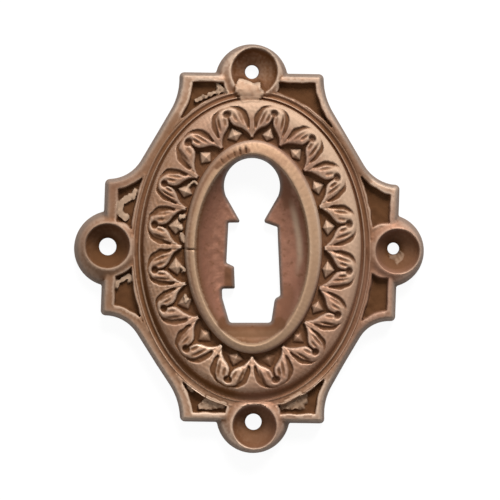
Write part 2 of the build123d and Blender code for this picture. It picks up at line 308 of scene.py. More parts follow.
# Ragged sheets: (corners, table of the top's height, how pale, kind). A kind is its edge's ripple, its top's
# ripple, its least rise, its crevice's depth, and its mottle: (share, ripple, limits)
PATCH = ((0.06, 1.1, 11), (0.05, 0.8, 15), 0.05, 0.0, (0.6, (1.0, 0.9, 16), (0.2, 1.2)))
FLASH = ((0.02, 1.1, 11), (0.025, 1.6, 14), 0.03, 0.12, (0.5, (1.0, 1.3, 16), (-0.2, 1.2)))
SHEETS = [
    ([(-7.5, -22.9), (-6.6, -22.1), (-6.2, -21.5), (-4.35, -22.1), (-3.2, -22.6), (-3.4, -23.2),
      (-3.9, -23.55), (-4.35, -23.3), (-5.2, -23.6), (-6.2, -23.6), (-7.3, -23.5)],
     [(0.0, 2.32)], 1.0, PATCH),
    ([(4.4, -22.8), (6.1, -21.6), (7.3, -20.9), (8.5, -21.3), (8.5, -22.6), (7.9, -23.0), (8.3, -23.5),
      (4.9, -23.55)], [(0.0, 2.2)], 0.7, PATCH),
    ([(20.25, -0.7), (21.3, -0.95), (21.95, -0.25), (22.7, -0.7), (22.65, -1.4), (21.75, -2.4),
      (20.65, -1.3)], [(0.0, 1.25)], 0.5, PATCH),
    ([(-1.46, 24.94), (-1.9, 24.07), (-2.05, 22.9), (-1.46, 22.3), (-1.32, 21.7), (-0.88, 21.4), (0.15, 21.6),
      (1.3, 21.5), (1.84, 21.9), (2.25, 22.9), (1.76, 23.5), (1.67, 24.36), (0.73, 24.2), (-0.29, 24.65)],
     [(21.1, 3.35), (22.5, 3.5), (23.3, 3.48), (24.6, 2.7), (25.5, 2.3)], 0.6, FLASH),
]

# Nicks and file marks: (path, half width, depth)
NICKS = [
    ([(-9.7, 0.0), (-8.6, -0.1), (-7.6, -0.25)], 0.16, 0.3),
    ([(-4.05, 12.95), (-3.8, 12.4)], 0.16, 0.2),
    ([(-3.1, 13.55), (-3.0, 13.05)], 0.14, 0.2),
    ([(-2.15, 14.05), (-2.05, 13.5)], 0.16, 0.25),
    ([(-1.3, 14.35), (-1.25, 13.75)], 0.2, 0.35),
    ([(-0.45, 14.55), (-0.42, 13.95)], 0.2, 0.35),
]
NICK_CORE = 0.3

# Dark patches: (path, half width, strength)
DIRT = [
    ([(-2.9, -3.2), (-2.9, -5.3)], 0.95, 0.9),
    ([(-4.7, 11.95), (-2.6, 13.5), (-0.2, 14.25)], 0.6, 0.95),
    ([(3.6, 12.6), (5.3, 9.5), (5.6, 6.5)], 1.0, 0.5),
    ([(5.4, -6.6), (5.2, -8.2), (4.6, -10.2)], 1.7, 0.5),
    ([(-0.2, 14.2), (2.6, 13.8), (5.0, 12.5)], 0.8, 0.3),
    ([(-3.6, -11.0), (-2.0, -11.8), (0.4, -12.1), (2.8, -11.8), (4.4, -11.0)], 1.5, 1.0),
    ([(11.2, 18.3), (13.6, 15.2), (15.4, 12.3), (17.0, 9.9)], 1.2, 0.85),
    ([(-10.5, 19.0), (-13.0, 15.7), (-14.9, 12.4), (-16.3, 9.5)], 1.2, 0.6),
]
DIRT_CORE = 0.5

# Unevenness of the cast surface: on the band, rougher on its left side, and on the frame
RIPPLE_WAVES = 12
RIPPLE_RATES = (0.7, 1.5)
BAND_RIPPLE = (0.01, 0.8, 31)
LEFT_RIPPLE = (0.012, 0.7, 33)
LEFT_XS = (7.5, 10.0)
LEFT_YS = (6.0, 10.0)
FRAME_RIPPLE = (0.012, 0.8, 31)
TOP_LIMIT = 5.18

# Mesh
GRID_STEP = 0.15
GRID_REACH = (26.4, 30.8)
LOOP_STEP = 0.26
FINE_STEP = 0.16
BEVEL_STEP = 0.2
LONG_LOOP = 100
PANEL_LOOP = 12
FRAME_COMB = (26.0, 30.4, 0.34)
FRAME_MARGIN = 0.2
WELL_COMB = (9.5, 15.0, 0.21)
WELL_MARGIN = 0.1
HONEYCOMB_ROW = 0.866
FILL_GAP = 0.16
FAULT_GAP = 0.1
CLEARANCE = 0.11
LOOP_CLEARANCE = 0.04
HOLE_POINTS = 56
SHADES = ("hidden", "rough", "stain", "well", "bare", "edge", "ochre")
BLUR_CELL = 0.1
BLUR_LOW = (-27.0, -31.5)
BLUR_CELLS = (540, 630)
BLUR_SPREADS = 3
RELIEF_SPREADS = {"crest": 0.22, "depth": 0.9}
SHARP_DEGREES = 62.0

# Aged brass: tones by the relief, then coats of (name, share, colour). A speckle is the scale, detail and
# roughness of a noise, with its gain and base
CREST_GAIN = 2.4
DEPTH_GAIN = 0.22
TONE_BASE = 0.46
CLOUD = (320.0, 5.0, 0.65, 0.65, -0.325)
TONES = [
    (0.0, (0.115, 0.045, 0.014)),
    (0.28, (0.165, 0.077, 0.038)),
    (0.5, (0.25, 0.146, 0.09)),
    (0.72, (0.33, 0.212, 0.146)),
    (1.0, (0.44, 0.318, 0.235)),
]
SPECKLES = {"blush": (75.0, 2.0, 0.5, 2.6, -1.1), "pits": (1300.0, 2.0, 0.5, 5.0, -3.2)}
# The dark stain coat also carries painted shade on the ring and in the well, and the pale rough coat carries
# painted highlights
COATS = [
    ("blush", 1.0, (0.225, 0.115, 0.076)),
    ("pits", 0.65, (0.1, 0.045, 0.018)),
    ("well", 0.85, (0.19, 0.086, 0.056)),
    ("stain", 0.82, (0.084, 0.036, 0.0145)),
    ("rough", 0.75, (0.36, 0.256, 0.18)),
    ("bare", 0.85, (0.13, 0.105, 0.09)),
    ("edge", 0.85, (0.15, 0.118, 0.096)),
    ("ochre", 0.7, (0.265, 0.168, 0.1)),
]
BRASS = {"Metallic": 0.45, "Specular IOR Level": 0.08}
GRAIN = (900.0, 3.0, 0.55, 0.2, 0.43)
DULL_GAIN = 0.25
BUMPS = (2600.0, 3.0, 0.6)
BUMP_SIZE = {"Strength": 0.35, "Distance": 0.00006}

# Floor, light and camera, in metres apart from the two widths and the camera's x and y
FLOOR_REACH = 2.0
FLOOR_Z = -0.0002
FLOOR = {"Base Color": (0.95, 0.95, 0.95, 1.0), "Roughness": 0.9, "Specular IOR Level": 0.1}
FLOOR_GLOW = 0.93
SKY = {"Color": (1.0, 0.99, 0.98, 1.0), "Strength": 0.46}
LAMPS = [("key", (0.12, 0.45, 0.36), 0.26, 7.8), ("side", (-0.4, 0.05, 0.32), 0.2, 0.7)]
FRAME_WIDTH = 73.15
CAMERA_X = 0.15
CAMERA_Y = -0.22
CAMERA_HEIGHT = 0.8
CAMERA_CLIP = 0.01
FACE_HEIGHT = 0.0015
SENSOR_WIDTH = 36.0


def smooth(value, low, high, size=1.0):
    """Rises from 0 at the low limit to its size at the high one."""
    share = np.clip((value - low) / (high - low), 0.0, 1.0)
    return size * (share * share * (3.0 - 2.0 * share))


def fall(value, low, high, size=1.0):
    """Falls from its size at the low limit to 0 at the high one."""
    return size * (1.0 - smooth(value, low, high))


def ridge(value, size, middle, spread):
    return size * np.exp(-(((value - middle) / spread) ** 2))


def table(place, pairs):
    return np.interp(place, *zip(*pairs))


def ripple(x, y, *layers):
    """Smooth uneven field: plane waves in seeded directions, summed over its layers."""
    total = np.zeros(np.shape(x))
    for size, wavelength, seed in layers:
        dice = np.random.default_rng(seed)
        turns, phases = dice.uniform(0.0, FULL_TURN, (2, RIPPLE_WAVES))
        rates = dice.uniform(*RIPPLE_RATES, RIPPLE_WAVES) * FULL_TURN / wavelength
        waves = np.zeros(np.shape(x))
        for turn, phase, rate in zip(turns, phases, rates):
            waves += np.sin(rate * (x * math.cos(turn) + y * math.sin(turn)) + phase)
        total += size * (waves / math.sqrt(RIPPLE_WAVES / 2))
    return total


def circle(middle_x, middle_y, radius, turns):
    """Places on a circle, as a row of x and a row of y."""
    return np.array([middle_x + radius * np.cos(turns), middle_y + radius * np.sin(turns)])


def even_turns(count):
    return np.linspace(0.0, FULL_TURN, count, endpoint=False)


def closed(loop):
    """A loop with its first point repeated at its end."""
    return np.vstack([loop, loop[:1]])


def rounded_path(corners, steps):
    """Points of an open path through (x, y, radius) corners, the ends left as they are."""
    points = [np.array(corners[0][:2])]
    for before, (*corner, radius), after in zip(corners, corners[1:], corners[2:]):
        place = np.array(corner)
        back = np.array(before[:2]) - place
        on = np.array(after[:2]) - place
        back = back / np.linalg.norm(back)
        on = on / np.linalg.norm(on)
        half = math.acos(np.clip(back @ on, -1.0, 1.0)) / 2
        if radius == 0 or half > STRAIGHT:
            points.append(place)
            continue
        reach = radius / math.tan(half)
        centre = place + (back + on) / np.linalg.norm(back + on) * radius / math.sin(half)
        start = place + back * reach - centre
        stop = place + on * reach - centre
        start_turn = math.atan2(start[1], start[0])
        sweep = math.atan2(start[0] * stop[1] - start[1] * stop[0], start @ stop)
        points += [circle(*centre, radius, start_turn + sweep * step / steps) for step in range(steps + 1)]
    points.append(np.array(corners[-1][:2]))
    return np.array(points)


def resampled(loop, step):
    """The same closed loop with points about one step apart."""
    line = closed(loop)
    lengths = np.concatenate([[0.0], np.cumsum(np.hypot(*np.diff(line, axis=0).T))])
    count = max(3, int(round(lengths[-1] / step)))
    places = np.linspace(0.0, lengths[-1], count + 1)
    return np.column_stack([np.interp(places, lengths, line[:, axis]) for axis in (0, 1)])[:-1]


def path_distance(x, y, path):
    best = np.full(np.shape(x), np.inf)
    for (x0, y0), (x1, y1) in zip(path[:-1], path[1:]):
        along_x, along_y = x1 - x0, y1 - y0
        share = ((x - x0) * along_x + (y - y0) * along_y) / (along_x**2 + along_y**2)
        share = np.clip(share, 0.0, 1.0)
        best = np.minimum(best, np.hypot(x - x0 - share * along_x, y - y0 - share * along_y))
    return best


def stroke(x, y, path, core, half_width):
    """1 along a path, fading to 0 at its half width."""
    return fall(path_distance(x, y, path), core * half_width, half_width)


def inside_loop(x, y, loop):
    inside = np.zeros(np.shape(x), bool)
    for (x0, y0), (x1, y1) in zip(loop, np.roll(loop, -1, axis=0)):
        if y0 != y1:
            crosses = (y0 > y) != (y1 > y)
            inside ^= crosses & (x < x0 + (y - y0) * (x1 - x0) / (y1 - y0))
    return inside


def loop_inset(x, y, loop):
    """Distance inside a closed loop."""
    gap = path_distance(x, y, closed(loop))
    return np.where(inside_loop(x, y, loop), gap, -gap)


def flank_path():
    """First quarter of the plate's outline, from the side's middle to the top's middle."""
    top_x = SHOULDER_X + TOP_RADIUS
    top_y = SHOULDER_Y - CHEEK_HEIGHT
    foot_x = SIDE_X - LEDGE_WIDTH
    foot_y = SIDE_Y + FOOT_RADIUS
    way = math.hypot(foot_x - top_x, foot_y - top_y)
    slant = math.pi + math.atan2(foot_y - top_y, foot_x - top_x)
    slant -= math.acos((TOP_RADIUS - FOOT_RADIUS) / way)
    foot_corner_x = foot_x - FOOT_RADIUS * math.tan(math.pi / 4 - slant / 2)
    top_corner_y = top_y - TOP_RADIUS * math.tan(slant / 2)
    corners = [
        (SIDE_X, 0.0, 0.0),
        (SIDE_X, SIDE_Y, CORNER_RADIUS),
        (foot_corner_x, SIDE_Y, FOOT_RADIUS),
        (SHOULDER_X, top_corner_y, TOP_RADIUS),
        (SHOULDER_X, SHOULDER_Y, CORNER_RADIUS),
        (0.0, SHOULDER_Y, 0.0),
    ]
    return rounded_path(corners, CORNER_STEPS)


flank = flank_path()
flank_quarter = np.vstack([flank, [[0.0, 0.0]]])
quarter_turns = np.linspace(0.0, math.pi / 2, QUARTER_POINTS)
oval_quarter = np.column_stack([GUIDE_A * np.cos(quarter_turns), GUIDE_B * np.sin(quarter_turns)])


def plate_inset(x, y):
    """Distance inside the plate's outline, which sits a little askew."""
    across = np.abs(x - PLATE_X - table(y, SLANTS))
    up = np.abs(y - table(x, TILTS))
    gap = path_distance(across, up, flank)
    return np.where(inside_loop(across, up, flank_quarter), gap, -gap)


def oval_offset(x, y):
    """Distance outside the guide ellipse."""
    gap = path_distance(np.abs(x - OVAL_X), np.abs(y - OVAL_Y), oval_quarter)
    outside = ((x - OVAL_X) / GUIDE_A) ** 2 + ((y - OVAL_Y) / GUIDE_B) ** 2 > 1.0
    return np.where(outside, gap, -gap)


def lug_insets(x, y):
    return [radius - np.hypot(x - lug_x, y - lug_y) for lug_x, lug_y, radius, *_ in LUGS]


def outline_inset(x, y):
    """Distance inside the plate or a lug, whichever is deeper."""
    return np.maximum.reduce([plate_inset(x, y), *lug_insets(x, y)])


def panel_inset(x, y):
    """Distance inside a sunk panel."""
    from_border = plate_inset(x - PANEL_SHIFT, y * PANEL_SQUEEZE) - BORDER_WIDTH
    from_lugs = [np.hypot(x - lug_x, y - lug_y) - PANEL_LUG_RADIUS for lug_x, lug_y, *_ in LUGS]
    inset = np.minimum.reduce([from_border, oval_offset(x, y) - PANEL_OVAL_GAP, *from_lugs])
    return inset + ripple(x, y, PANEL_WANDER)


def cup_share(x, y, cup_x, cup_y, cup_radius, hole_x, hole_y, hole_radius):
    """0 at the screw hole's edge and 1 at the cup's edge."""
    from_cup = np.hypot(x - cup_x, y - cup_y)
    from_hole = np.hypot(x - hole_x, y - hole_y)
    mix = smooth(from_cup, hole_radius, cup_radius)
    reach = from_hole * (1.0 - mix) + from_cup * mix
    return (reach - hole_radius) / (cup_radius - hole_radius)


def residue_reach(x, y, path, half_width):
    """Distance inside a lump of residue."""
    return half_width + ripple(x, y, RESIDUE_EDGE) - path_distance(x, y, path)


def sheet_reach(x, y, corners, ragged):
    """Distance inside a sheet of flash or residue with a ragged edge."""
    return loop_inset(x, y, np.array(corners)) + ripple(x, y, ragged)


def fault_reach(x, y):
    """Distance inside any lump or sheet."""
    reaches = [residue_reach(x, y, path, half_width) for path, half_width, _ in RESIDUES]
    reaches += [sheet_reach(x, y, corners, kind[0]) for corners, _, _, kind in SHEETS]
    return np.maximum.reduce(reaches)


def crevice(reach):
    """Dark line just outside a lump."""
    return smooth(reach, *CREVICE_OUTER) * fall(reach, *CREVICE_INNER)


def laid_over(height, reach, top):
    """Lays a lump over a height. Returns the new height and how much of it is the lump's."""
    lump = smooth(reach, *FAULT_EDGE)
    return height + lump * (top - height), lump


def mottle(x, y, share, spots, limits):
    """1 on clean metal and less in dull spots."""
    return 1.0 - share * smooth(ripple(x, y, spots), *limits)


def flawed(x, y, height):
    """Adds the casting faults. Returns the height, how much of it is lumpy residue, and how dark it is."""
    rough = np.zeros(np.shape(x))
    dark = np.zeros(np.shape(x))
    for path, half_width, strength in DIRT:
        dark = np.maximum(dark, strength * stroke(x, y, path, DIRT_CORE, half_width))
    for path, half_width, top in RESIDUES:
        reach = residue_reach(x, y, path, half_width)
        dark = np.maximum(dark, crevice(reach) * (top > height))
        rise = np.maximum(top + ripple(x, y, RESIDUE_RIPPLE), height)
        height, lump = laid_over(height, reach, rise)
        rough = np.maximum(rough, lump)
    for corners, tops, pale, (ragged, uneven, least, depth, spots) in SHEETS:
        reach = sheet_reach(x, y, corners, ragged)
        dark = np.maximum(dark, crevice(reach))
        rise = np.maximum(table(y, tops) + ripple(x, y, uneven), height + least)
        height, lump = laid_over(height, reach, rise)
        height = height - depth * crevice(reach)
        rough = np.maximum(rough, pale * lump * mottle(x, y, *spots))
    for path, half_width, depth in NICKS:
        cut = stroke(x, y, path, NICK_CORE, half_width)
        height = height - depth * cut
        dark = np.maximum(dark, cut)
    return height, rough, dark


def lugged(x, y, height):
    """Lays the lugs' walls and cups over a height. Returns the height and the dark stain in the cups."""
    stain = np.zeros(np.shape(x))
    for inset, (_, _, _, *cup), grime in zip(lug_insets(x, y), LUGS, LUG_STAINS):
        beyond = np.maximum(np.hypot(x - cup[0], y - cup[1]) - cup[2] - RIM_WIDTH, 0.0)
        wall = table(inset / (np.maximum(inset, 0.0) + beyond + TINY), LUG_WALL)
        height = np.where(inset > 0, np.maximum(height, wall), height)
        share = cup_share(x, y, *cup)
        height = np.where(share < CUP[-1][0], np.minimum(height, table(share, CUP)), height)
        settled = grime * (1.0 - CUP_SETTLE * (y - cup[1]) / cup[2])
        stain = np.maximum(stain, settled * table(share, CUP_STAINS))
    return height, stain


def frame_height(x, y):
    """Plate border, lugs and cups, with the panels sunk into them. Returns the height and the dark stain."""
    inset = plate_inset(x, y)
    height, stain = lugged(x, y, table(inset, BORDER))
    sunk = panel_inset(x, y)
    height = height + ridge(sunk, *PANEL_EDGE)
    bottom = PANEL_FLOOR + ripple(x, y, *PANEL_RIPPLES)
    patina = PATINA * fall(oval_offset(x, y), *PATINA_OUT) * smooth(y, *PATINA_UP)
    tarnish = smooth(y, *TARNISH) * fall(inset, *TARNISH_INSET)
    tarnish = tarnish * fall(np.maximum.reduce(lug_insets(x, y)), *TARNISH_LUG)
    grime = np.maximum(table(-x, GRIMES), FRAME_STAIN)
    in_panel = smooth(sunk, *PANEL_STAIN)
    stain = np.maximum.reduce([stain, patina, tarnish, grime, in_panel])
    return height + smooth(sunk, 0.0, PANEL_WALL) * (bottom - height), stain


def dart_height(phase, out, y):
    """Steep-sided diamond, each a little different: 0 at its foot and about 1 at its unworn peak."""
    hand = DART_SPREADS * np.random.default_rng(DART_SEED).uniform(-1.0, 1.0, (UNITS, len(DART_SPREADS)))
    aside, along, width, top = hand[np.floor(phase).astype(int) % UNITS].T
    across = (phase % 1.0 - 0.5) * 2.0 * HALF_UNIT + aside
    upper = (DART_HEAD - out - along) / (DART_HEAD - DART_SHOULDER)
    lower = (out + along - DART_POINT) / (DART_SHOULDER - DART_POINT)
    inward = np.minimum(upper, lower) - np.abs(across) / (DART_HALF_WIDTH * (1.0 + width))
    inward = np.clip(inward, 0.0, 1.0)
    form = DART_WALL * np.minimum(DART_STEEP * inward, 1.0) + (1.0 - DART_WALL) * inward
    return form * (1.0 - DART_SPREADS[-1] + top - fall(y, *DART_WEAR))


def half_width_at(out, path):
    """How far across a falling half-unit line lies."""
    return table(out, [(height, across) for across, height in path[::-1]])


def inside_distance(across, out, path):
    """Distance inside a half arch that falls from the eye's axis."""
    gap = path_distance(across, out, path)
    return np.where((across < half_width_at(out, path)) & (out < path[0][1]), gap, -gap)


def groove(across, out, line):
    """Lens-shaped cut along a vein: 1 in its middle, 0 at its edges and ends."""
    top, foot = line[0][1], line[-1][1]
    taper = np.clip(VEIN_FULLNESS - (2.0 * (out - foot) / (top - foot) - 1.0) ** 2, 0.0, 1.0)
    edge = VEIN_HALF_WIDTH * (VEIN_END + (1.0 - VEIN_END) * taper)
    return taper * fall(path_distance(across, out, line), VEIN_CORE * VEIN_HALF_WIDTH, edge)


def leaf_height(phase, out, x, y):
    """Carved leaf border, with a leaf tip at each whole phase and an eye midway. Returns height and stain."""
    unit = np.floor(phase)
    signed = (phase - unit - 0.5) * 2.0
    hand = np.random.default_rng(VEIN_SEED).uniform(-1.0, 1.0, (2 * UNITS, len(VEINS)))
    half = (2 * unit + (signed > 0)).astype(int) % (2 * UNITS)
    across = np.abs(signed) * HALF_UNIT
    wander = ripple(x, y, LEAF_WANDER)

    # Distances inside the arch, inside the lobe, and into the ground between the leaves
    from_arch = inside_distance(across, out, ARCH) + wander
    from_lobe = inside_distance(across, out, LOBE) + wander
    gap = path_distance(across, out, OGEE)
    in_ground = ((across < half_width_at(out, OGEE)) & (out < EYE_OUT)) | (out < OGEE[-1][1])
    from_edge = np.where(in_ground, gap, -gap) + EDGE_WANDER * wander
    from_eye = np.hypot(across, out - EYE_OUT) - EYE_RADIUS

    # Plain border and midribs, plump lobes inside the arches, and a hollow between the two
    body = table(out, BODY)
    brink = np.minimum.reduce([from_lobe, -from_edge, from_eye + EYE_RIM])
    lobe = table(out, LOBE_TOPS) - fall(brink, *LOBE_EDGE)
    height = body + smooth(from_arch, *ARCH_BRINK) * (lobe - body)
    width = np.maximum(from_arch - from_lobe, CRESCENT_LEAST) + smooth(-x, *ARCH_TOP)
    share = np.clip(from_arch / width, 0.0, CRESCENT_MOST)
    sink = smooth(share, *CRESCENT_OUTER) * fall(share, *CRESCENT_INNER) * smooth(width, *CRESCENT_WIDTHS)
    sink = sink * smooth(out, *CRESCENT_FOOT)
    height = height - CRESCENT_DEPTH * sink

    # Veins, each half leaf cut a little differently, and a thin rim along the leaf's edge
    stain = sink
    for index, vein in enumerate(VEINS):
        drift = VEIN_DRIFT * hand[half, index]
        cut = groove(across + drift, out + drift, vein) * (1.0 + VEIN_SPREAD * hand[half, index - 1])
        height = height - VEIN_DEPTH * cut
        stain = np.maximum(stain, VEIN_STAIN * cut)
    height = height + ridge(from_edge, *LEAF_RIM)

    # Eye, slit and deep ground with its dart
    pit = smooth(-from_eye, *CUT_BRINK)
    height = height + pit * (EYE_FLOOR - height)
    dart = dart_height(phase, out, y)
    ground = np.maximum(table(out, SLIT), GROUND + (DART_TOP - GROUND) * dart)
    cut = smooth(from_edge, *CUT_BRINK)
    stain = np.maximum.reduce([cut * fall(dart, *DART_CLEAN), EYE_STAIN * pit, stain])
    return height + cut * (ground - height), stain


def moulding_stain(out, height):
    """Dirt in the grooves round the bead, on the ring's side and at its foot."""
    grooves = (PATINA + fall(height, *MOULDING_STAIN)) * fall(height, *MOULDING_BRINK)
    side = np.maximum(fall(height, *RING_STAIN), fall(height, *RING_ROOT))
    return np.where(out > 0, grooves, side)


def band_height(phase, out, x, y):
    """Whole band from the moulding's edge to the ring. Returns the height and the dark stain."""
    profile = MOULDING + [(LEAF_OUT, BORDER_EDGE_TOP), (TIP_OUT, GROUND)] + RING
    plain = table(out, profile[::-1])
    leaves, stain = leaf_height(phase, out, x, y)
    within = (out <= LEAF_OUT) & (out >= TIP_OUT)
    return np.where(within, leaves, plain), np.where(within, stain, moulding_stain(out, plain))


def contours(field, level):
    """Closed loops where a field over the plate crosses a level, from a square grid."""
    grid = np.meshgrid(*(np.arange(-reach, reach, GRID_STEP) for reach in GRID_REACH), indexing="ij")
    values = field(*grid) - level
    above = values > 0
    first = above[:-1, :-1]
    crossed = (first != above[1:, :-1]) | (first != above[:-1, 1:]) | (first != above[1:, 1:])
    links = {}
    places = {}
    for i, j in np.argwhere(crossed):
        ends = []
        ring = [(i, j), (i + 1, j), (i + 1, j + 1), (i, j + 1)]
        for a, b in zip(ring, ring[1:] + ring[:1]):
            if above[a] != above[b]:
                key = (min(a, b), max(a, b))
                share = values[a] / (values[a] - values[b])
                places[key] = [axis[a] + share * (axis[b] - axis[a]) for axis in grid]
                ends.append(key)
        for start, stop in zip(ends[::2], ends[1::2]):
            links.setdefault(start, []).append(stop)
            links.setdefault(stop, []).append(start)
    loops = []
    unused = set(links)
    while unused:
        onward = [min(unused)]
        loop = []
        while onward:
            loop.append(onward[0])
            unused.discard(onward[0])
            onward = [key for key in links[loop[-1]] if key in unused]
        loops.append(np.array([places[key] for key in loop]))
    return loops


def level_loops(field, levels, step, least=0):
    """Evenly spaced loops of a field at several levels, without those of few points."""
    loops = [loop for level in levels for loop in contours(field, level)]
    return [resampled(loop, step) for loop in loops if len(loop) > least]


class Casting:
    """Points, faces and shades of one mesh, gathered part by part."""

    def __init__(self):
        self.points = []
        self.faces = []
        self.shades = {name: [] for name in SHADES}

    def add(self, x, y, z, **shades):
        """Adds points, with 0 for each shade that isn't given, and returns their numbers."""
        start = len(self.points)
        count = len(x)
        self.points += np.column_stack([x, y, np.broadcast_to(z, count)]).tolist()
        for name, values in self.shades.items():
            values += np.broadcast_to(shades.get(name, 0.0), count).tolist()
        return np.arange(start, start + count)

    def place(self, numbers):
        return np.array([self.points[number][:2] for number in numbers])

    def strip(self, first, second):
        """Closed row of quads between two loops with the same number of points."""
        self.faces += np.column_stack([first, np.roll(first, -1), np.roll(second, -1), second]).tolist()

    def knit(self, coarse, fine):
        """Closed row of triangles between a loop and one with twice as many points."""
        onward = np.roll(coarse, -1)
        even, odd, after = fine[::2], fine[1::2], np.roll(fine, -2)[::2]
        for corners in ((coarse, onward, odd), (coarse, odd, even), (onward, after, odd)):
            self.faces += np.column_stack(corners).tolist()

    def fill(self, borders, make, lines=(), extra=()):
        """Triangles inside the first border and outside the others, whose points they share."""
        flat = []
        edges = []
        shared = np.concatenate(borders)
        for numbers in borders:
            start = len(flat)
            flat += self.place(numbers).tolist()
            edges += [(start + k, start + (k + 1) % len(numbers)) for k in range(len(numbers))]
        for line in lines:
            start = len(flat)
            flat += line.tolist()
            edges += [(start + k, start + k + 1) for k in range(len(line) - 1)]
        flat += np.asarray(extra).tolist()
        spots, _, triangles, origins, _, _ = delaunay_2d_cdt([Vector(p) for p in flat], edges, [], 0, TINY)
        spots = np.array([tuple(spot) for spot in spots])
        corners = np.array(triangles)
        middles = spots[corners].mean(axis=1).T
        keep = inside_loop(*middles, self.place(borders[0]))
        for numbers in borders[1:]:
            keep &= ~inside_loop(*middles, self.place(numbers))
        corners = corners[keep]
        numbers = np.full(len(spots), -1)
        for spot, sources in enumerate(origins):
            owners = [shared[source] for source in sources if source < len(shared)]
            if owners:
                numbers[spot] = owners[0]
        used = np.zeros(len(spots), bool)
        used[corners] = True
        fresh = np.where((numbers < 0) & used)[0]
        numbers[fresh] = make(*spots[fresh].T)
        self.faces += numbers[corners].tolist()


casting = Casting()

# Guide ellipse by length, with the columns at even phases
fine_turns = np.linspace(0.0, FULL_TURN, GUIDE_POINTS)
fine_steps = np.hypot(np.diff(GUIDE_A * np.cos(fine_turns)), np.diff(GUIDE_B * np.sin(fine_turns)))
fine_shares = np.concatenate([[0.0], np.cumsum(fine_steps)]) / fine_steps.sum()
knots = []
for unit, (tip, eye) in enumerate(UNIT_SHIFTS):
    knots += [unit + tip, unit + 0.5 + eye]
knots += [UNITS + UNIT_SHIFTS[0][0]]
column_phases = np.arange(UNITS * UNIT_COLUMNS) / UNIT_COLUMNS
column_shares = np.interp(column_phases, np.arange(2 * UNITS + 1) / 2, knots) / UNITS % 1.0
column_turns = np.interp(column_shares, fine_shares, fine_turns)


def oval_points(turns, out, rise=0.0, lean=0.0, pull=0.0):
    """Places at an offset square to the guide, moved up by a rise, right by a lean and in by a pull."""
    normal_x = np.cos(turns) / GUIDE_A
    normal_y = np.sin(turns) / GUIDE_B
    size = np.hypot(normal_x, normal_y)
    reach = out + (rise * normal_y + lean * normal_x) / size - pull * (normal_x / size) ** 2
    x = OVAL_X + GUIDE_A * np.cos(turns) + reach * normal_x / size
    y = OVAL_Y + GUIDE_B * np.sin(turns) + reach * normal_y / size
    return x, y


def leaf_pale(turns, phases, out, y, stain):
    """Pale darts, much paler towards the top as a painted highlight, and the leaf border paler towards the
    upper right.
    """
    dart = DART_PALE_FOOT + smooth(np.sin(turns), *DART_HIGHLIGHT_RISE)
    dart = dart * smooth(dart_height(phases, out, y), *DART_PALE)
    pale_side = smooth(np.cos(turns - PALE_SIDE_TURN), *PALE_SIDE) * (1.0 - np.clip(stain, 0.0, 1.0))
    return np.maximum(dart, pale_side * smooth(out, *PALE_SIDE_OUT))


def band_row(out, stride, looks):
    """One row of the band. Steep places are evened by looking at several spots round each point."""
    turns = column_turns[::stride]
    phases = column_phases[::stride]
    x, y = oval_points(turns, out, table(out, RISES), table(out, LEANS), table(out, PULLS))
    z = np.zeros(len(turns))
    stain = np.zeros(len(turns))
    for along, across in looks:
        height, dark = band_height(phases + along, np.full(len(turns), out + across), x, y)
        z += height / len(looks)
        stain += dark / len(looks)
    pale = 0.0
    if out > LEAF_OUT:
        worn = smooth(-np.sin(turns), *WORN_SINES)
        z += worn * (max(WORN_HEIGHT, z[0] - WORN_LOSS) - z)
        stain = stain * (1.0 - worn)
        pale = smooth(z, *LINE_PALE) * (out > LINE_COVE) * (1.0 - worn)
        over, cup_stain = lugged(x, y, z)
        fade = smooth(out, *LUG_FADE)
        z += fade * (over - z)
        stain = np.maximum(stain, fade * cup_stain)
    elif out >= TIP_OUT:
        pale = leaf_pale(turns, phases, out, y, stain)
    stain = np.maximum(stain, smooth(-x, *SIDE_DIRT))
    z += ripple(x, y, LEFT_RIPPLE) * smooth(-x, *LEFT_XS) * fall(np.abs(y), *LEFT_YS)
    z, rough, dark = flawed(x, y, z)
    z = np.minimum(z + ripple(x, y, BAND_RIPPLE), TOP_LIMIT)
    rough = np.maximum(rough, pale)
    clean = 1.0 - np.clip(dark, 0.0, 1.0)
    ochre = smooth(-out, *RING_OCHRE) * clean
    if out < TIP_OUT:
        # Painted shade on the ring's outer slope, on the left side
        shade = smooth(-np.cos(turns), *RING_LEFT) * fall(-out, *RING_SLOPE)
        stain = np.maximum(stain, RING_SHADE * shade)
        ochre = ochre * (1.0 - shade)
        # Painted highlights along the ring's inner edge and on its lower inner part
        line = smooth(-out, *RING_HIGHLIGHT_LINE)
        foot = smooth(-np.sin(turns), *RING_LOW_HIGHLIGHT) * smooth(-out, *RING_LOW_HIGHLIGHT_OUT)
        rough = np.maximum(rough, np.maximum(line, foot) * clean)
    return casting.add(x, y, z, rough=rough, stain=np.maximum(stain, dark), ochre=ochre)


# Band of mouldings, leaves and ring, as a grid that is finer over the leaves
near_phase = LOOK_SHARE / UNIT_COLUMNS
near_out = LOOK_SHARE * (LEAF_OUT - TIP_OUT) / (LEAF_ROWS - 1)
leaf_looks = [(a * near_phase, b * near_out) for a in (-1, 1) for b in (-1, 1)]
one_look = [(0.0, 0.0)]
outer_rows = [band_row(out, COARSE_STRIDE, one_look) for out, _ in MOULDING]
leaf_rows = [band_row(out, 1, leaf_looks) for out in np.linspace(LEAF_OUT, TIP_OUT, LEAF_ROWS)]
ring_rows = [band_row(out, COARSE_STRIDE, one_look) for out, _ in RING]
for group in (outer_rows, leaf_rows, ring_rows):
    for outer, inner in zip(group, group[1:]):
        casting.strip(inner, outer)
casting.knit(outer_rows[-1], leaf_rows[0])
casting.knit(ring_rows[0], leaf_rows[-1])
band_edge = outer_rows[0]
well_edge = ring_rows[-1]

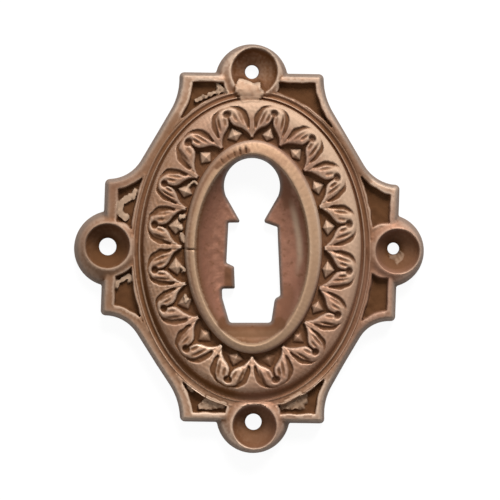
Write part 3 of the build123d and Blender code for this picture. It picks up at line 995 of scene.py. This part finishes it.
# Frame round the band
outline = resampled(max(contours(outline_inset, 0.0), key=len), LOOP_STEP)
outline_numbers = casting.add(*outline.T, 0.0, edge=EDGE_GREY)
hole_tops = []
for lug in LUGS:
    x, y = circle(*lug[6:], even_turns(HOLE_POINTS))
    z, stain = frame_height(x, y)
    hole_tops.append(casting.add(x, y, z, stain=stain))

frame_loops = level_loops(outline_inset, [inset for inset, _ in BORDER[BORDER_BENDS]], LOOP_STEP, LONG_LOOP)
frame_loops += level_loops(panel_inset, PANEL_BENDS, LOOP_STEP, PANEL_LOOP)
for lug in LUGS:
    cup, hole = np.array(lug[3:6]), np.array(lug[6:])
    turns = even_turns(int(FULL_TURN * cup[2] / LOOP_STEP))
    frame_loops += [circle(*(hole + share * (cup - hole)), turns).T for share, _ in CUP[1:]]

band_loop = casting.place(band_edge)


def clear_runs(loop):
    """Stretches of a closed loop that stay clear of the band's edge."""
    line = closed(loop)
    gap = path_distance(*line.T, closed(band_loop))
    clear = (gap > LOOP_CLEARANCE) & ~inside_loop(*line.T, band_loop)
    cuts = np.where(clear[1:] != clear[:-1])[0] + 1
    runs = zip(np.split(line, cuts), np.split(clear, cuts))
    return [run for run, kept in runs if kept[0]]


def honeycomb(half_width, half_height, step):
    """Even spread of places over a rectangle."""
    across = np.arange(-half_width, half_width, step)
    up = np.arange(-half_height, half_height, step * HONEYCOMB_ROW)
    x, y = np.meshgrid(across, up)
    x = x + step / 2 * (np.arange(len(x)) % 2)[:, None]
    return x.ravel(), y.ravel()


def away_from(x, y, points, gap):
    """The places that have no given point within a gap."""
    point_x, point_y = points.T
    free = [np.min((px - point_x) ** 2 + (py - point_y) ** 2) > gap * gap for px, py in zip(x, y)]
    return np.column_stack([x[free], y[free]])


def open_frame(x, y, taken, gap):
    """Places on the frame clear of its borders and of the points already taken."""
    clear = (outline_inset(x, y) > FRAME_MARGIN) & (oval_offset(x, y) > MOULDING[0][0] + CLEARANCE)
    return away_from(x[clear], y[clear], taken, gap)


def frame_points(x, y):
    z, stain = frame_height(x, y)
    z, rough, dark = flawed(x, y, z)
    z = z + ripple(x, y, FRAME_RIPPLE)
    grey = EDGE_GREY * fall(outline_inset(x, y), *EDGE_GREY_INSET)
    return casting.add(x, y, z, rough=rough, stain=np.maximum(stain, dark), edge=grey)


frame_lines = [run for loop in frame_loops for run in clear_runs(loop)]
taken = np.vstack([outline, band_loop] + frame_lines)
fault_loops = level_loops(fault_reach, FAULT_EDGE, FINE_STEP)
fault_places = open_frame(*np.vstack(fault_loops).T, taken, FAULT_GAP)
taken = np.vstack([taken, fault_places])
frame_fill = np.vstack([fault_places, open_frame(*honeycomb(*FRAME_COMB), taken, FILL_GAP)])
casting.fill([outline_numbers, band_edge, *hole_tops], frame_points, frame_lines, frame_fill)

# Keyhole and well
throat_turn = math.atan2(THROAT[1] - ROUND_Y, THROAT[0])
round_turns = np.linspace(throat_turn, math.pi - throat_turn, ROUND_POINTS)
round_places = circle(0.0, ROUND_Y, ROUND_RADIUS, round_turns).T
stem_corners = [(*round_places[-1], 0.0), *KEYHOLE, (*round_places[0], 0.0)]
stem_places = rounded_path(stem_corners, KEYHOLE_STEPS)
keyhole = np.vstack([round_places[:-1], stem_places[:-1]]) + [OVAL_X, OVAL_Y]
keyhole = resampled(keyhole, FINE_STEP)


def keyhole_gap(x, y):
    """Distance outside the keyhole."""
    return -loop_inset(x, y, keyhole)


def well_points(x, y):
    gap = keyhole_gap(x, y)
    offset = oval_offset(x, y)
    z = table(offset, WELL) - EDGE_DROP * np.clip(1.0 - gap / EDGE_BEVEL, 0.0, 1.0)
    z, _, dark = flawed(x, y, z + ripple(x, y, *WELL_RIPPLES))
    spots = ripple(x, y, *WELL_SPOTS)
    # Painted shadow of the ring on the well's wall, on the left side
    shade = smooth(offset, *WELL_SHADE) * smooth(-x, *WELL_LEFT)
    stain = np.maximum.reduce([dark, smooth(spots, *BLOTCH), shade])
    red = smooth(-offset, *RED_OUT) * smooth(y, *WELL_FOOT)
    bare = fall(gap, *BARE_GAP)
    # Painted highlight streak down the well's right wall
    painted_highlight = stroke(x, y, HIGHLIGHT_STREAK, 0.0, HIGHLIGHT_STREAK_HALF_WIDTH) * smooth(y, *HIGHLIGHT_STREAK_FOOT) * fall(y, *HIGHLIGHT_STREAK_HEAD)
    ochre = WELL_FOOT_OCHRE * fall(y, *WELL_FOOT) * (1.0 - bare)
    return casting.add(x, y, z, rough=painted_highlight, stain=stain, well=red, bare=bare, ochre=ochre)


keyhole_tops = well_points(*keyhole.T)
well_lines = [closed(loop) for loop in level_loops(keyhole_gap, [EDGE_BEVEL], BEVEL_STEP, LONG_LOOP)]
well_x, well_y = honeycomb(*WELL_COMB)
on_floor = oval_offset(well_x, well_y) < RING[-1][0] - CLEARANCE
on_floor &= keyhole_gap(well_x, well_y) > WELL_MARGIN
taken = np.vstack([keyhole, casting.place(well_edge)] + well_lines)
well_fill = away_from(well_x[on_floor], well_y[on_floor], taken, FILL_GAP)
casting.fill([well_edge, keyhole_tops], well_points, well_lines, well_fill)


def back_points(x, y, z=0.0, bare=0.0):
    return casting.add(x, y, z, hidden=1.0, bare=bare, edge=EDGE_GREY)


# Walls of the holes, and the back with its hollow
keyhole_feet = back_points(*keyhole.T, bare=1.0)
hole_feet = [back_points(*casting.place(numbers).T) for numbers in hole_tops]
for top, foot in zip([keyhole_tops, *hole_tops], [keyhole_feet, *hole_feet]):
    casting.strip(top, foot)
hollow = [back_points(*oval_points(column_turns[::BACK_STRIDE], out), z) for out, z in HOLLOW]
for outer, inner in zip(hollow, hollow[1:]):
    casting.strip(outer, inner)
casting.fill([outline_numbers, hollow[0], *hole_feet], back_points)
casting.fill([hollow[-1], keyhole_feet], back_points)


def blurred(points, spread):
    """Mean height of the face round each point, weighted by a bell curve."""
    i, j = ((points[:, :2] - BLUR_LOW) / BLUR_CELL).astype(int).T
    total = np.zeros(BLUR_CELLS)
    count = np.zeros(BLUR_CELLS)
    np.add.at(total, (i, j), points[:, 2])
    np.add.at(count, (i, j), 1.0)
    filled = count > 0
    total[filled] /= count[filled]
    count[filled] = 1.0
    reach = int(BLUR_SPREADS * spread / BLUR_CELL)
    bell = np.exp(-0.5 * (np.arange(-reach, reach + 1) * BLUR_CELL / spread) ** 2)
    for axis in (0, 1):
        total = np.apply_along_axis(np.convolve, axis, total, bell, "same")
        count = np.apply_along_axis(np.convolve, axis, count, bell, "same")
    return total[i, j] / count[i, j]


points = np.array(casting.points)
shown = np.array(casting.shades.pop("hidden")) == 0
for name, spread in RELIEF_SPREADS.items():
    casting.shades[name] = np.zeros(len(points))
    casting.shades[name][shown] = points[shown, 2] - blurred(points[shown], spread)


def placed(name, data):
    made = bpy.data.objects.new(name, data)
    bpy.context.collection.objects.link(made)
    return made


mesh = bpy.data.meshes.new("escutcheon_cast")
mesh.from_pydata((points * MM).tolist(), [], casting.faces)
for name, values in casting.shades.items():
    layer = mesh.attributes.new(name, "FLOAT", "POINT")
    layer.data.foreach_set("value", np.asarray(values, dtype=np.float32))
work = bmesh.new()
work.from_mesh(mesh)
bmesh.ops.recalc_face_normals(work, faces=work.faces)
work.to_mesh(mesh)
work.free()
mesh.shade_smooth()
mesh.set_sharp_from_angle(angle=math.radians(SHARP_DEGREES))
plate = placed("escutcheon_cast", mesh)
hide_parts("escutcheon_plate")
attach(plate, "root")


def node(tree, kind, **values):
    made = tree.nodes.new(kind)
    for name, value in values.items():
        setattr(made, name, value)
    return made


def attribute(tree, name):
    return node(tree, "ShaderNodeAttribute", attribute_name=name).outputs["Fac"]


def joined(tree, operation, *values, clamp=False):
    """Math node on values that are each a socket or a number."""
    made = node(tree, "ShaderNodeMath", operation=operation, use_clamp=clamp)
    for socket, value in zip(made.inputs, values):
        if isinstance(value, float):
            socket.default_value = value
        else:
            tree.links.new(value, socket)
    return made.outputs[0]


def set_inputs(made, values):
    for name, value in values.items():
        made.inputs[name].default_value = value


def speckle(tree, scale, detail, roughness, gain=1.0, base=0.0, clamp=False):
    place = node(tree, "ShaderNodeTexCoord")
    made = node(tree, "ShaderNodeTexNoise")
    set_inputs(made, {"Scale": scale, "Detail": detail, "Roughness": roughness})
    tree.links.new(place.outputs["Object"], made.inputs["Vector"])
    return joined(tree, "MULTIPLY_ADD", made.outputs["Fac"], gain, base, clamp=clamp)


def ramp(tree, value, stops):
    made = node(tree, "ShaderNodeValToRGB")
    while len(made.color_ramp.elements) < len(stops):
        made.color_ramp.elements.new(0.5)
    for element, (place, colour) in zip(made.color_ramp.elements, stops):
        element.position = place
        element.color = (*colour, 1.0)
    tree.links.new(value, made.inputs["Fac"])
    return made.outputs["Color"]


def mixed(tree, share, first, second):
    """Mix node, whose inputs 0, 6 and 7 are the share and the two colours, and output 2 their mix."""
    made = node(tree, "ShaderNodeMix", data_type="RGBA")
    tree.links.new(share, made.inputs[0])
    tree.links.new(first, made.inputs[6])
    made.inputs[7].default_value = (*second, 1.0)
    return made.outputs[2]


def new_material(name, mesh, inputs):
    """Gives a mesh a plain material, and returns its nodes and its shader."""
    material = bpy.data.materials.new(name)
    material.use_nodes = True
    mesh.materials.append(material)
    shader = material.node_tree.nodes["Principled BSDF"]
    set_inputs(shader, inputs)
    return material.node_tree, shader


def aged_brass(mesh):
    tree, shader = new_material("aged_brass", mesh, BRASS)
    tone = joined(tree, "MULTIPLY_ADD", attribute(tree, "crest"), CREST_GAIN, TONE_BASE)
    tone = joined(tree, "MULTIPLY_ADD", attribute(tree, "depth"), DEPTH_GAIN, tone)
    colour = ramp(tree, joined(tree, "ADD", tone, speckle(tree, *CLOUD)), TONES)
    for name, share, coat in COATS:
        value = speckle(tree, *SPECKLES[name], clamp=True) if name in SPECKLES else attribute(tree, name)
        colour = mixed(tree, joined(tree, "MULTIPLY", value, share), colour, coat)
    tree.links.new(colour, shader.inputs["Base Color"])
    dull = joined(tree, "MAXIMUM", attribute(tree, "rough"), attribute(tree, "edge"))
    dull = joined(tree, "MAXIMUM", dull, attribute(tree, "stain"))
    dull = joined(tree, "MULTIPLY_ADD", dull, DULL_GAIN, speckle(tree, *GRAIN))
    tree.links.new(dull, shader.inputs["Roughness"])
    bump = node(tree, "ShaderNodeBump")
    set_inputs(bump, BUMP_SIZE)
    tree.links.new(speckle(tree, *BUMPS), bump.inputs["Height"])
    tree.links.new(bump.outputs["Normal"], shader.inputs["Normal"])


aged_brass(mesh)

# Floor
floor_mesh = bpy.data.meshes.new("floor")
floor_corners = [(a * FLOOR_REACH, b * FLOOR_REACH, 0.0) for a, b in ((-1, -1), (1, -1), (1, 1), (-1, 1))]
floor_mesh.from_pydata(floor_corners, [], [(0, 1, 2, 3)])
floor = placed("floor", floor_mesh)
floor.location.z = FLOOR_Z
tree, floor_shader = new_material("floor", floor_mesh, FLOOR)
ray = node(tree, "ShaderNodeLightPath")
seen = joined(tree, "ADD", ray.outputs["Is Camera Ray"], ray.outputs["Is Glossy Ray"])
seen = joined(tree, "ADD", seen, ray.outputs["Is Transmission Ray"])
backdrop = node(tree, "ShaderNodeMixShader")
tree.links.new(joined(tree, "MULTIPLY", seen, FLOOR_GLOW), backdrop.inputs[0])
tree.links.new(floor_shader.outputs[0], backdrop.inputs[1])
tree.links.new(node(tree, "ShaderNodeEmission").outputs[0], backdrop.inputs[2])
tree.links.new(backdrop.outputs[0], tree.nodes["Material Output"].inputs["Surface"])

# Light
world = bpy.data.worlds.new("studio")
world.use_nodes = True
set_inputs(world.node_tree.nodes["Background"], SKY)
bpy.context.scene.world = world
for name, place, size, power in LAMPS:
    lamp_data = bpy.data.lights.new(name, "AREA")
    lamp_data.shape = "SQUARE"
    lamp_data.size = size
    lamp_data.energy = power
    lamp = placed(name, lamp_data)
    lamp.location = place
    lamp.rotation_euler = (-Vector(place)).to_track_quat("-Z", "Y").to_euler()

# Camera, straight above
camera_data = bpy.data.cameras.new("camera")
camera_data.sensor_width = SENSOR_WIDTH
camera_data.lens = SENSOR_WIDTH * (CAMERA_HEIGHT - FACE_HEIGHT) / (FRAME_WIDTH * MM)
camera_data.clip_start = CAMERA_CLIP
camera = placed("camera", camera_data)
camera.location = (CAMERA_X * MM, CAMERA_Y * MM, CAMERA_HEIGHT)
bpy.context.scene.camera = camera
bpy.context.scene.view_settings.view_transform = "Standard"
